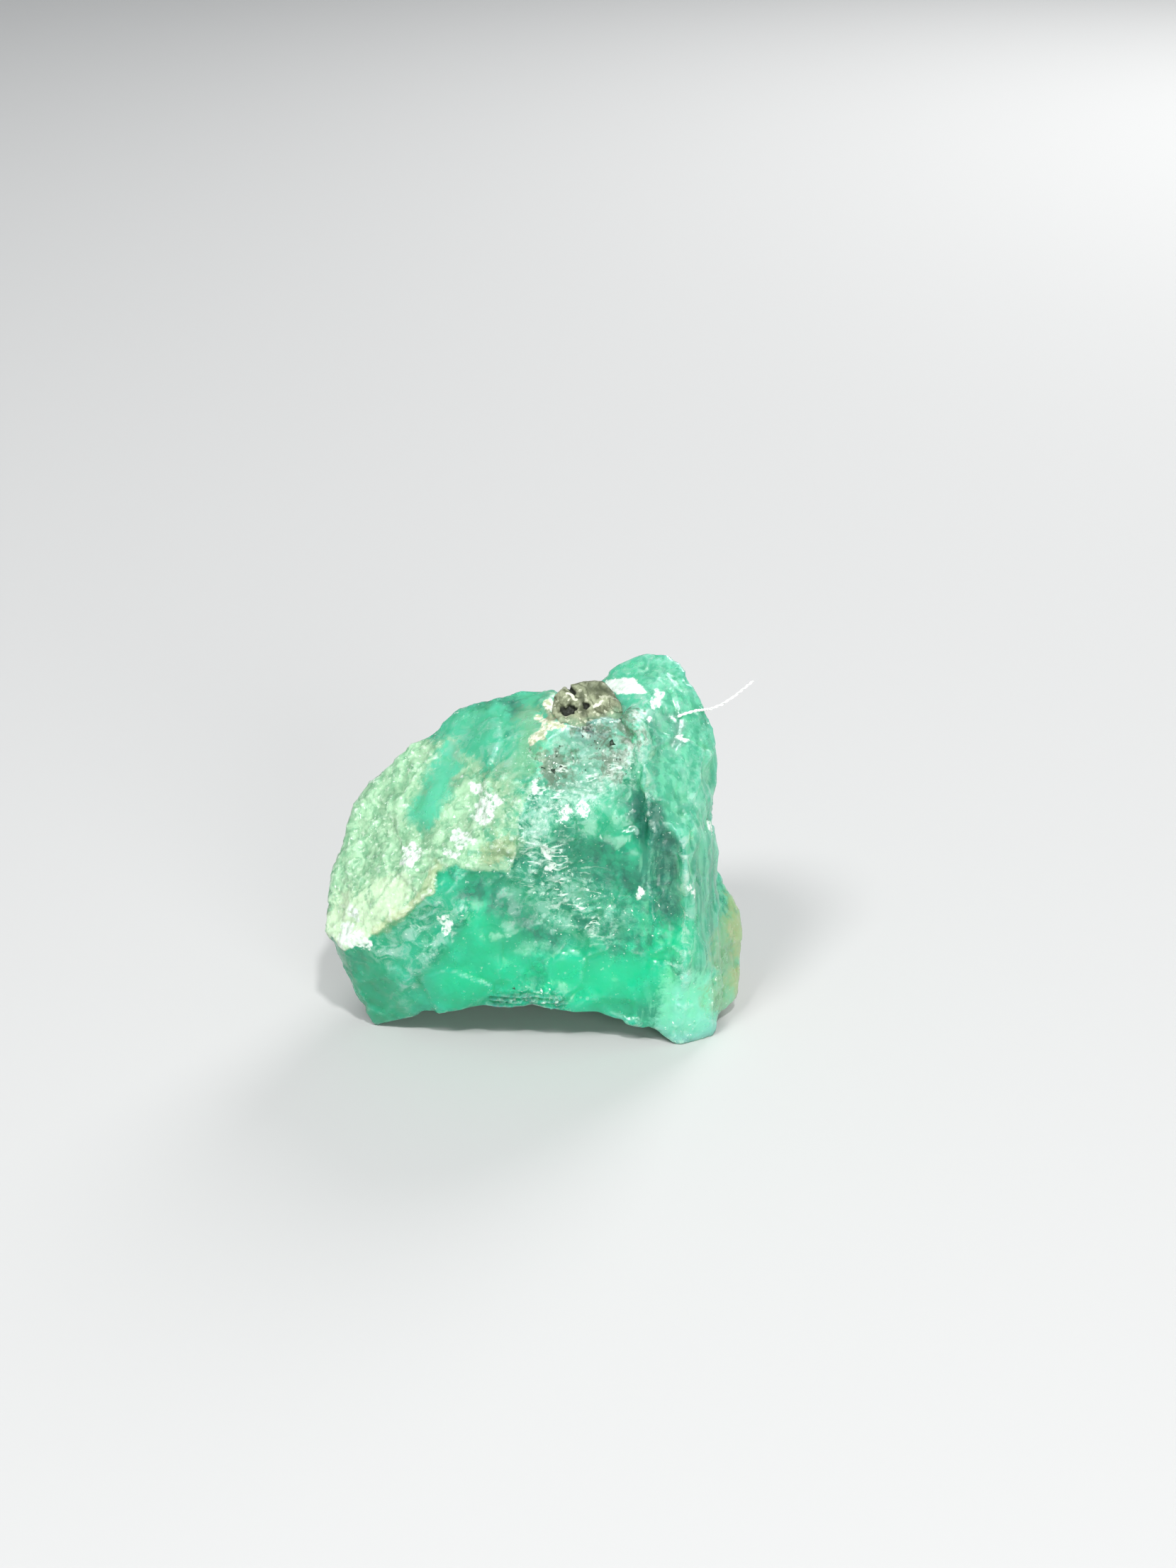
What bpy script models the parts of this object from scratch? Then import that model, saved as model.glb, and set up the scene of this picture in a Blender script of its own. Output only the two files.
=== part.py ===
"""A raw emerald crystal: one fractured shard of beryl that stands on three worn feet, with a grain
of its mica-schist host rock lodged in the top edge.

+Z is up, the broken front face looks along -Y, and the origin is under the middle of the stone.
Corners, radii and thicknesses are in millimetres and are scaled to metres as the meshes are made.
"""

import math

import bmesh
import bpy
from mathutils import Matrix, Vector

MM = 0.001

# Driving dimensions, in millimetres.
VOXEL = 0.085
GRAIN_VOXEL = 0.06
POCKET_GAP = 0.04
GROUND_DEPTH = 4.0
# Middle of the corners' own frame, which goes over the origin.
STONE_MIDDLE = (0.055, 0.19)

# Share of the even mesh's faces that each piece keeps.
EMERALD_KEEPS = 0.115
GRAIN_KEEPS = 0.16

# Corners where the main fracture and prism faces meet.
BODY_CORNERS = [
    # left foot and the smooth facet above it
    (-3.45, -1.40, -0.10),
    (-2.85, -1.55, -0.10),
    (-2.70, -0.30, -0.10),
    (-3.90, -0.90, 0.73),
    (-4.30, -0.70, 1.62),
    (-2.75, -2.10, 0.95),
    # ledge of the pale crust on the left
    (-4.45, -1.30, 2.31),
    (-3.98, -1.90, 2.12),
    (-3.49, -2.15, 2.40),
    (-2.11, -2.45, 3.75),
    (-1.11, -2.45, 4.30),
    (-0.48, -2.35, 4.25),
    # left and upper left skyline
    (-4.36, -0.60, 2.88),
    (-4.08, -0.20, 3.60),
    (-3.88, 0.20, 4.21),
    (-3.66, 0.50, 4.60),
    (-3.20, 0.70, 5.17),
    (-2.62, 0.90, 5.70),
    (-1.67, 1.10, 6.36),
    (-1.11, 1.10, 6.63),
    (-0.17, 1.10, 6.82),
    (1.20, 0.90, 6.95),
    # ridge that climbs to the schist grain
    (-0.17, -2.00, 5.26),
    (0.08, -1.60, 6.05),
    (0.40, -1.10, 6.75),
    (1.50, -0.60, 6.95),
    # right foot and the edge of the prism slab
    (3.20, -2.25, -0.10),
    (3.75, -1.95, -0.10),
    (3.00, -2.30, 1.90),
    (2.85, -1.85, 4.40),
    (2.10, -0.95, 6.60),
    # hidden back: two edges between prism faces, and the broken base under them
    (-2.00, 2.85, 0.80),
    (-2.05, 2.80, 3.90),
    (2.10, 2.65, 0.70),
    (2.05, 2.60, 5.20),
    (-3.55, 0.20, 0.90),
    (-0.90, 2.45, -0.10),
    (0.10, 2.70, -0.10),
    (1.50, 2.55, -0.10),
]

# The slab of striated prism that rises behind the grain and runs down to the right foot.
SLAB_CORNERS = [
    (1.32, 1.00, 7.08),
    (1.80, 1.10, 7.40),
    (2.38, 1.20, 7.62),
    (2.95, 1.10, 7.70),
    (3.24, 0.80, 7.55),
    (3.46, 0.45, 7.22),
    (3.82, 0.10, 6.62),
    (3.97, -0.40, 5.60),
    (3.92, -0.60, 5.05),
    (3.93, -0.90, 3.50),
    (3.97, -1.00, 2.70),
    (4.06, -1.50, 0.40),
    (3.95, -1.85, -0.10),
    (3.25, -2.25, -0.10),
    (2.98, -2.36, 0.25),
    (3.15, -2.48, 1.84),
    (3.15, -2.25, 4.60),
    (2.36, -2.05, 5.15),
    (2.22, -1.10, 6.95),
    (2.05, 2.60, 6.20),
    (2.10, 2.65, 0.70),
    (3.70, 0.20, 0.60),
    (0.60, 2.60, 0.70),
    (0.60, 2.60, 4.60),
]

# The stained bump low on the right.
HEEL_CORNERS = [
    (4.42, -1.00, 0.42),
    (4.56, -0.55, 0.90),
    (4.55, -0.25, 1.50),
    (4.42, 0.00, 2.05),
    (4.18, 0.20, 2.55),
    (3.95, 0.30, 2.95),
    (4.10, 1.20, 0.45),
    (4.22, 0.95, 1.50),
    (3.90, 1.10, 2.30),
    (3.98, -1.30, 0.25),
    (3.92, -1.35, 1.10),
    (4.00, -0.90, 2.00),
    (4.10, 0.20, -0.10),
    (3.60, 1.00, -0.10),
    (3.40, -0.80, 0.10),
    (3.10, 1.30, 0.30),
    (3.00, 1.30, 2.40),
    (3.30, -0.60, 2.40),
]

GRAIN_CORNERS = [
    (0.42, -0.35, 7.00),
    (0.55, 0.25, 7.38),
    (0.80, 0.10, 7.52),
    (1.45, 0.15, 7.42),
    (1.80, -0.05, 7.12),
    (1.95, -0.40, 6.75),
    (1.55, -0.95, 6.55),
    (0.95, -0.95, 6.70),
    (0.60, -0.80, 6.80),
    (1.10, 0.40, 6.60),
    (1.60, 0.35, 6.60),
    (1.20, -0.30, 6.20),
]

# Conchoidal hollows: centre, radii and tilt about Y in degrees.
SCOOPS = {
    "front_hollow": ((1.0, -10.85, 3.6), (7.0, 9.0, 9.0), 0),
    "arch": ((-0.08, -2.4, -4.25), (5.75, 6.6, 5.15), 4),
    "slab_recess": ((2.80, -2.95, 4.0), (0.50, 1.15, 1.9), 0),
    "left_undercut": ((-3.6, -3.4, 1.2), (1.6, 1.5, 1.15), 25),
    "right_notch": ((4.35, -0.6, 4.45), (0.62, 0.9, 0.36), 25),
    "crown_dip": ((0.95, 0.95, 7.75), (0.55, 1.6, 0.62), 0),
}

# Relief left by the fractures: noise size and strength, in millimetres.
RELIEF = {"swell": (1.7, 0.30), "chips": (0.55, 0.13)}


def clear_scene():
    """Removes whatever the start-up file holds."""
    for thing in list(bpy.data.objects):
        bpy.data.objects.remove(thing)


def stone_frame():
    """An empty that puts the middle of the stone over the origin."""
    frame = bpy.data.objects.new("stone_frame", None)
    frame.location = (-STONE_MIDDLE[0] * MM, -STONE_MIDDLE[1] * MM, 0)
    bpy.context.scene.collection.objects.link(frame)


def add_object(name, shape, helper=False):
    """Turns a bmesh into a linked object. A helper is a cutter, hidden from the render."""
    mesh = bpy.data.meshes.new(name)
    shape.to_mesh(mesh)
    shape.free()
    made = bpy.data.objects.new(name, mesh)
    made.parent = bpy.data.objects["stone_frame"]
    bpy.context.scene.collection.objects.link(made)
    if helper:
        made.hide_render = True
        made.display_type = "WIRE"
    return made


def hull(name, corners, helper=True):
    """The convex solid over these corners."""
    shape = bmesh.new()
    for corner in corners:
        shape.verts.new(Vector(corner) * MM)
    bmesh.ops.convex_hull(shape, input=shape.verts)
    unused = [vertex for vertex in shape.verts if not vertex.link_faces]
    bmesh.ops.delete(shape, geom=unused, context="VERTS")
    bmesh.ops.recalc_face_normals(shape, faces=shape.faces)
    return add_object(name, shape, helper)


def scoop(name, centre, radii, tilt):
    """An ellipsoid cutter, which leaves a conchoidal hollow."""
    shape = bmesh.new()
    bmesh.ops.create_icosphere(shape, subdivisions=4, radius=1.0)
    shape.transform(
        Matrix.Translation(Vector(centre) * MM)
        @ Matrix.Rotation(math.radians(tilt), 4, "Y")
        @ Matrix.Diagonal((*(radius * MM for radius in radii), 1.0))
    )
    return add_object(name, shape, helper=True)


def ground_block():
    """A block under the stone, whose top at Z 0 cuts the three feet flat."""
    shape = bmesh.new()
    bmesh.ops.create_cube(shape, size=1.0)
    wide = 4 * GROUND_DEPTH
    shape.transform(
        Matrix.Translation((0, 0, -GROUND_DEPTH / 2 * MM))
        @ Matrix.Diagonal((wide * MM, wide * MM, GROUND_DEPTH * MM, 1.0))
    )
    return add_object("ground_block", shape, helper=True)


def boolean(target, other, operation):
    """Joins or cuts with an exact Boolean."""
    step = target.modifiers.new(other.name, "BOOLEAN")
    step.operation = operation
    step.object = other


def even_mesh(target, voxel):
    """Rebuilds the joined blanks as one closed skin of even faces."""
    step = target.modifiers.new("even_mesh", "REMESH")
    step.mode = "VOXEL"
    step.voxel_size = voxel * MM


def roughen(target, share=1.0):
    """Adds the fracture relief: a broad swell, then finer chips."""
    for name, (size, strength) in RELIEF.items():
        grain = bpy.data.textures.get(name) or bpy.data.textures.new(name, "CLOUDS")
        grain.noise_scale = size * MM
        grain.noise_depth = 3
        step = target.modifiers.new(name, "DISPLACE")
        step.texture = grain
        step.texture_coords = "LOCAL"
        step.strength = strength * share * MM


def fewer_faces(target, share):
    step = target.modifiers.new("fewer_faces", "DECIMATE")
    step.ratio = share


def offset(target, distance):
    """Grows a closed skin outwards by a distance."""
    step = target.modifiers.new("offset", "DISPLACE")
    step.mid_level = 0.0
    step.strength = distance * MM


def material(name, colour, roughness, alpha=1.0):
    made = bpy.data.materials.new(name)
    made.use_nodes = True
    shader = made.node_tree.nodes["Principled BSDF"]
    shader.inputs["Base Color"].default_value = (*colour, 1.0)
    shader.inputs["Roughness"].default_value = roughness
    shader.inputs["Transmission Weight"].default_value = 1.0 - alpha
    return made


def schist_grain(name, helper=False):
    """The brown-grey grain of mica schist, or the same shape to cut its pocket."""
    grain = hull(name, GRAIN_CORNERS, helper)
    even_mesh(grain, GRAIN_VOXEL)
    roughen(grain, share=0.7)
    fewer_faces(grain, GRAIN_KEEPS)
    return grain


def emerald_crystal():
    """The green crystal: blanks joined, hollows cut, then relief, the grain's pocket and flat feet."""
    crystal = hull("emerald", BODY_CORNERS, helper=False)
    boolean(crystal, hull("slab_blank", SLAB_CORNERS), "UNION")
    boolean(crystal, hull("heel_blank", HEEL_CORNERS), "UNION")
    for name, (centre, radii, tilt) in SCOOPS.items():
        boolean(crystal, scoop(name, centre, radii, tilt), "DIFFERENCE")
    even_mesh(crystal, VOXEL)
    roughen(crystal)
    fewer_faces(crystal, EMERALD_KEEPS)
    pocket = schist_grain("grain_pocket", helper=True)
    offset(pocket, POCKET_GAP)
    boolean(crystal, pocket, "DIFFERENCE")
    boolean(crystal, ground_block(), "DIFFERENCE")
    return crystal


def build():
    clear_scene()
    stone_frame()
    crystal = emerald_crystal()
    crystal.data.materials.append(material("emerald_green", (0.07, 0.43, 0.24), 0.3, 0.7))
    grain = schist_grain("schist_grain")
    grain.data.materials.append(material("mica_schist", (0.16, 0.14, 0.09), 0.8))


build()
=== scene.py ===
"""Looks for a raw emerald crystal: a cloudy green beryl shard with a pale crust, white frosting on its
fractures, a lodged grain of mica schist and a thread of lint.

Lengths in the helpers are in millimetres, in the frame's own axes: the front face looks along -Y.
"""

import math

import bmesh
import bpy
import numpy as np
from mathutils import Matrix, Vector, bvhtree, noise


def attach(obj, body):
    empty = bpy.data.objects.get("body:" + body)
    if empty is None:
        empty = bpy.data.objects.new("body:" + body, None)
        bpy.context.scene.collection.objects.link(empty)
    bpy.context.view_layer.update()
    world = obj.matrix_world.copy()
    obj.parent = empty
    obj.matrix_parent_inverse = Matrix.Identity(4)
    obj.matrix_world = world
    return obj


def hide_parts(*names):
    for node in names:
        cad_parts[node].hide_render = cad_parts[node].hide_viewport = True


MM = 0.001

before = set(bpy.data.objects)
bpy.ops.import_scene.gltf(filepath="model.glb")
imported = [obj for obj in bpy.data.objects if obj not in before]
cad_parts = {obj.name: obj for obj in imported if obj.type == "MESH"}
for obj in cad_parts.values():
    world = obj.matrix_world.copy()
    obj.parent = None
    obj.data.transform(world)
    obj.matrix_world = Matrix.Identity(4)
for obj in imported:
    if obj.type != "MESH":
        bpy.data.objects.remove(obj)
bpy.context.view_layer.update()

# How fine the meshes are.
EMERALD_VOXEL = 0.053
GRAIN_VOXEL = 0.022

# The front of the stone is laid out on a sheet that leans back by this angle: "across" runs along X
# and "up" runs up the sheet from the foot of the front face.
LEAN = math.radians(25)
FOOT_Y = -2.39


# ---------------------------------------------------------------- numbers and noise

def smooth(low, high, values):
    """0 below low, 1 above high, and a soft step between them."""
    share = np.clip((values - low) / (high - low), 0.0, 1.0)
    return share * share * (3 - 2 * share)


def on_sheet(points):
    """Across and up coordinates on the front sheet."""
    across = points[:, 0]
    up = points[:, 2] * math.cos(LEAN) + (points[:, 1] - FOOT_Y) * math.sin(LEAN)
    return across, up


def fractal(points, size, octaves=4, stretch=(1, 1, 1), seed=0):
    """Fractal noise of about -1 to 1, whose largest grain is size across."""
    scaled = points / (np.array(stretch) * size) + seed * 17.31
    return np.array([noise.fractal(Vector(p), 1.0, 2.0, octaves) for p in scaled])


def ridged(points, size, octaves=4, stretch=(1, 1, 1), seed=0):
    """Ridged noise of 0 to about 1: thin sharp crests between soft hollows."""
    base = fractal(points, size, octaves, stretch, seed)
    return 1 - np.clip(np.abs(base) * 2.2, 0, 1)


def facets(points, size, seed):
    """Broken facets: each cell is a plane that leans its own way. Returns the height of the planes
    in cell sizes, and a crack value that is 0 at a cell's edge."""
    scaled = points / size + seed * 11.7
    height = np.empty(len(points))
    crack = np.empty(len(points))
    for row, p in enumerate(scaled):
        spans, cells = noise.voronoi(Vector(p))
        lean = noise.cell_vector(cells[0] * 7.3) - Vector((0.5, 0.5, 0.5))
        height[row] = lean.dot(Vector(p) - cells[0]) + 0.35 * (lean.x + lean.y)
        crack[row] = spans[1] - spans[0]
    return height, crack


def band(across, up, path, width):
    """1 on a path of (across, up) points, fading to 0 at a width from it."""
    here = np.stack([across, up], -1)
    best = np.full(len(across), 1e9)
    for start, end in zip(path[:-1], path[1:]):
        a = np.array(start)
        run = np.array(end) - a
        share = np.clip(((here - a) @ run) / (run @ run), 0, 1)
        best = np.minimum(best, np.linalg.norm(here - a - share[:, None] * run, axis=1))
    return 1 - smooth(0, width, best)


def bands(across, up, rows):
    """The strongest of several bands, each given as (strength, path, width)."""
    return np.maximum.reduce([strength * band(across, up, path, width) for strength, path, width in rows])


def spots(across, up, places):
    """1 in the middle of each (across, up, radius) spot, fading to 0 at its rim."""
    value = np.zeros(len(across))
    for x, y, radius in places:
        value = np.maximum(value, 1 - smooth(0.45, 1.0, np.hypot(across - x, up - y) / radius))
    return value


def panel(across, up, corners, soft):
    """1 inside a flat patch whose corners are given counter-clockwise, fading out at its edges."""
    inside = np.ones(across.shape)
    for (left, low), (right, high) in zip(corners, corners[1:] + corners[:1]):
        depth = (right - left) * (up - low) - (high - low) * (across - left)
        inside = np.minimum(inside, smooth(-soft, soft, depth / math.hypot(right - left, high - low)))
    return inside


# ---------------------------------------------------------------- meshes

def fine_copy(node, name, voxel, rounds):
    """A new piece with the CAD node's shape, as one even closed skin of small faces, softened."""
    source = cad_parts[node]
    shape = bmesh.new()
    shape.from_mesh(source.data)
    bmesh.ops.remove_doubles(shape, verts=shape.verts, dist=1e-7)
    mesh = bpy.data.meshes.new(name)
    shape.to_mesh(mesh)
    shape.free()
    piece = bpy.data.objects.new(name, mesh)
    bpy.context.scene.collection.objects.link(piece)
    remesh = piece.modifiers.new("even", "REMESH")
    remesh.mode = "VOXEL"
    remesh.voxel_size = voxel * MM
    soften = piece.modifiers.new("soften", "SMOOTH")
    soften.factor = 0.5
    soften.iterations = rounds
    apply_all(piece)
    return piece


def apply_all(piece):
    """Replaces a piece's mesh by what its modifiers make of it."""
    graph = bpy.context.evaluated_depsgraph_get()
    made = bpy.data.meshes.new_from_object(piece.evaluated_get(graph))
    piece.modifiers.clear()
    piece.data = made


def made_mesh(curve):
    """Turns a curve object into a mesh object of the same name."""
    graph = bpy.context.evaluated_depsgraph_get()
    mesh = bpy.data.meshes.new_from_object(curve.evaluated_get(graph))
    name = curve.name
    bpy.data.objects.remove(curve)
    made = bpy.data.objects.new(name, mesh)
    bpy.context.scene.collection.objects.link(made)
    return made


def points_of(piece):
    """Every vertex, in millimetres."""
    flat = np.empty(len(piece.data.vertices) * 3)
    piece.data.vertices.foreach_get("co", flat)
    return flat.reshape(-1, 3) / MM


def normals_of(piece):
    """Every vertex's normal."""
    flat = np.empty(len(piece.data.vertices) * 3)
    piece.data.vertices.foreach_get("normal", flat)
    return flat.reshape(-1, 3)


def set_points(piece, points):
    """Moves every vertex to its new place, given in millimetres."""
    piece.data.vertices.foreach_set("co", (points * MM).astype(np.float32).ravel())
    piece.data.update()


def set_mask(piece, name, values):
    """Stores one number per vertex, for a material to read."""
    layer = piece.data.attributes.new(name, "FLOAT", "POINT")
    layer.data.foreach_set("value", np.clip(values, 0, 1).astype(np.float32))


def edge_pairs(piece):
    """The two vertex numbers of every edge."""
    flat = np.empty(len(piece.data.edges) * 2, int)
    piece.data.edges.foreach_get("vertices", flat)
    return flat.reshape(-1, 2)


def spread(values, pairs, count, rounds):
    """Averages values with their neighbours', some rounds over."""
    degree = np.bincount(pairs.ravel(), minlength=count)
    for _ in range(rounds):
        total = np.bincount(pairs[:, 0], values[pairs[:, 1]], count)
        total += np.bincount(pairs[:, 1], values[pairs[:, 0]], count)
        values = 0.5 * values + 0.5 * total / np.maximum(degree, 1)
    return values


def edge_wear(piece, rounds):
    """How far each point stands out of its surroundings, in millimetres: above 0 on crests."""
    points, normals, pairs = points_of(piece), normals_of(piece), edge_pairs(piece)
    count = len(points)
    around = np.stack([spread(points[:, k], pairs, count, rounds) for k in range(3)], -1)
    return ((points - around) * normals).sum(1)


# ---------------------------------------------------------------- the emerald

# Lower and right-hand border of the pale crust, from the left corner up to the schist grain.
CRUST_EDGE = [(-4.70, 2.45), (-4.00, 1.98), (-3.55, 2.18), (-3.00, 2.69), (-2.15, 3.29), (-1.98, 3.82),
              (-1.15, 3.74), (-0.50, 3.79), (-0.25, 4.85), (0.05, 5.79), (0.40, 6.75)]
CHIP_SEED = 11
CHIPS = 150


def chips(points, normals):
    """Depth of the small shell-shaped breaks: each has a sharp rim and faint ripples inside."""
    pick = np.random.default_rng(CHIP_SEED)
    depth = np.zeros(len(points))
    for _ in range(CHIPS):
        at = pick.integers(len(points))
        radius = pick.uniform(0.18, 0.75) ** 1.3
        centre = points[at] + normals[at] * radius * pick.uniform(0.35, 0.8)
        squash = pick.uniform(0.6, 1.5, 3)
        away = np.linalg.norm((points - centre) / squash, axis=1) / radius
        inside = np.clip(1 - away * away, 0, 1)
        waves = 1 + 0.12 * np.sin(away * pick.uniform(14, 26))
        depth = np.maximum(depth, radius * 0.22 * inside * waves)
    return depth


def lay_out(points, normals):
    """Where each kind of surface lies: one field of 0 to 1 per name, and the warped coordinates."""
    flat_across, flat_up = on_sheet(points)
    broad = fractal(points, 0.7, 4, seed=3)
    across = flat_across + 0.16 * broad
    up = flat_up + 0.16 * fractal(points, 0.7, 4, seed=9)
    facing = smooth(-0.15, 0.35, -normals[:, 1] * math.cos(LEAN) + normals[:, 2] * math.sin(LEAN))
    edge = np.array(CRUST_EDGE)
    streak = band(across, up, [(-2.35, 4.9), (-2.10, 5.5), (-1.80, 6.2)], 0.65)
    clean_top = smooth(5.5, 6.5, up + 0.45 * (across + 1.0)) * smooth(0.6, -0.2, across)
    above = up - np.interp(across, edge[:, 0], edge[:, 1], right=12.0)
    crust = smooth(-0.04, 0.10, above) * (1 - 0.45 * smooth(-2.0, -0.8, across))
    crust *= smooth(2.1, 1.2, points[:, 1] + 0.5 * broad)
    crust *= 1 - np.maximum(streak, clean_top)
    where = {"across": across, "up": up, "facing": facing, "crust": crust, "streak": streak}
    where["slab"] = smooth(2.1, 2.3, across) * smooth(0.2, 0.8, up)
    where["back"] = smooth(0.6, 0.9, normals[:, 1])
    where["side"] = smooth(0.55, 0.85, normals[:, 0])
    where["broad"] = broad

    hackly = band(across, up, [(0.3, 5.7), (0.1, 4.6), (0.45, 3.6), (1.2, 2.9)], 1.05)
    hackly = np.maximum(hackly, 0.8 * band(across, up, [(0.6, 5.6), (1.9, 5.9)], 0.8))
    where["hackly"] = facing * hackly * (1 - crust)
    ridge = band(flat_across, flat_up, [(-2.85, 0.95), (-2.6, 1.6), (-1.7, 2.45), (-1.5, 2.9)], 0.26)
    where["ridge"] = ridge * facing
    where["rib"] = band(flat_across, flat_up, [(3.22, 4.6), (3.12, 3.0), (3.2, 1.3)], 0.2) * facing
    where["lip"] = band(flat_across, flat_up, [(-0.9, 0.95), (-0.2, 1.02), (0.5, 0.92)], 0.28) * facing
    patchy = smooth(0.05, 0.5, fractal(points, 1.6, 3, seed=12))
    rough = np.maximum.reduce([where["hackly"], 0.8 * where["ridge"], 0.6 * crust, 0.8 * patchy])
    clean = [(-3.2, 1.3, 1.3), (-2.4, 5.3, 0.7), (-1.5, 6.4, 0.9), (0.9, 1.7, 0.9)]
    glassy = spots(across, up, clean) * facing
    where["rough"] = np.clip(0.15 + rough, 0, 1) * (1 - 0.85 * glassy)
    return where


def emerald_relief(points, normals, where):
    """How far each point of the skin is lifted along its normal."""
    big, big_crack = facets(points, 1.10, seed=1)
    small, small_crack = facets(points, 0.33, seed=2)
    lift = 0.12 * big * smooth(0, 0.08, big_crack)
    lift += 0.05 * small * smooth(0, 0.12, small_crack) * where["rough"]
    lift += 0.012 * fractal(points, 0.30, 4, seed=4) * where["rough"]
    lift += 0.03 * fractal(points, 1.0, 2, seed=13)
    lift -= chips(points, normals) * (1 - 0.7 * where["crust"])
    # hackly ripples across the front hollow
    ripple = ridged(points, 0.42, 4, stretch=(1.6, 1.2, 0.6), seed=5)
    lift += 0.05 * where["hackly"] * (ripple - 0.4)
    # growth lines down the prism faces
    lines = fractal(points, 0.16, 3, stretch=(1, 1, 16), seed=6)
    lift += 0.024 * np.maximum.reduce([where["back"], where["side"], 0.8 * where["slab"]]) * lines
    # the crust stands proud, with a coarse skin
    lift += where["crust"] * (0.05 + 0.03 * fractal(points, 0.14, 3, seed=7))
    lift += 0.07 * where["ridge"] + 0.06 * where["rib"] * smooth(-0.35, 0.3, where["broad"])
    # the skin laps over the foot of the lodged grain
    collar = band(where["across"], where["up"], [(0.30, 7.3), (0.45, 6.85), (1.1, 6.65), (2.0, 6.9)], 0.30)
    lift += 0.13 * collar * where["facing"]
    # thin flakes along the lip of the arch
    sheets = np.sign(np.sin(points[:, 2] * 2 * math.pi / 0.09 + 2 * where["broad"]))
    lift += 0.05 * where["lip"] * sheets
    return lift * smooth(0.0, 0.3, points[:, 2])


# White spots on the front, partly bruised frosting and partly painted glints, as (across, up, radius).
FROST_AND_GLINT_SPOTS = [
    (-1.10, 5.04, 0.42), (-0.85, 5.20, 0.26), (-2.54, 4.10, 0.36), (-1.50, 4.44, 0.30), (-1.72, 4.15, 0.20),
    (-1.25, 5.45, 0.20), (-3.80, 2.85, 0.18), (-4.00, 2.24, 0.34), (-3.65, 2.26, 0.30), (-3.95, 2.55, 0.24),
    (2.20, 3.25, 0.22), (-1.80, 2.62, 0.20), (3.75, 4.65, 0.16), (2.55, 6.95, 0.14), (3.15, 6.60, 0.12),
    (0.55, 5.00, 0.24), (0.95, 5.10, 0.26), (0.15, 4.30, 0.24), (0.30, 3.90, 0.24), (-0.05, 5.50, 0.20),
    (2.60, 7.40, 0.22), (3.20, 3.30, 0.12), (3.10, 2.80, 0.10)]

# A painted reflection: the smooth break beside the schist grain, painted white as the lamp's glare on it.
GLARE_FACET = [(1.44, 7.68), (1.74, 7.47), (2.42, 7.47), (2.08, 7.83), (1.50, 7.80)]

# Stretches of painted shade: dark teal in the recesses and where the clear stone shows dark, as (strength,
# path, width).
SHADE_STRETCHES = [
    (1.00, [(2.20, 5.1), (2.45, 4.7), (2.75, 4.3)], 0.60),
    (0.62, [(2.70, 4.3), (2.80, 2.9)], 0.70),
    (0.50, [(2.55, 6.9), (2.50, 6.2), (2.45, 5.4)], 0.32),
    (0.45, [(3.00, 7.1), (3.05, 6.5)], 0.32),
    (0.55, [(1.10, 4.1), (1.60, 3.9), (2.20, 3.5)], 0.60),
    (0.60, [(-1.30, 3.3), (-0.40, 2.9), (0.40, 2.3)], 0.50),
    (0.60, [(-0.60, 7.3), (-0.30, 7.1)], 0.35)]

# Whitish clouds of tiny fractures, as (strength, path, width).
VEILS = [
    (1.00, [(0.20, 5.2), (1.20, 5.4), (2.00, 6.2), (2.30, 7.2)], 1.00),
    (1.00, [(0.00, 4.9), (0.00, 3.8), (0.50, 3.4)], 0.95),
    (1.00, [(-2.85, 0.95), (-2.60, 1.6), (-1.90, 2.45)], 0.36),
    (1.00, [(-3.20, 2.0), (-2.60, 2.4), (-2.10, 2.9), (-1.60, 3.0)], 0.60),
    (0.60, [(-0.50, 2.9), (0.30, 3.0), (1.00, 2.7), (1.50, 2.7)], 0.70),
    (0.80, [(3.20, 4.4), (3.20, 1.4)], 0.35),
    (0.55, [(2.70, 7.5), (3.10, 6.5), (3.40, 5.4), (3.60, 4.8)], 0.75),
    (0.70, [(1.80, 8.0), (2.60, 8.0), (3.10, 7.6)], 0.50),
    (0.50, [(-2.10, 6.4), (-1.30, 6.6), (-0.40, 6.4)], 0.80),
    (0.70, [(-0.90, 6.3), (-0.30, 5.6), (-0.30, 4.8)], 0.50)]


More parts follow.
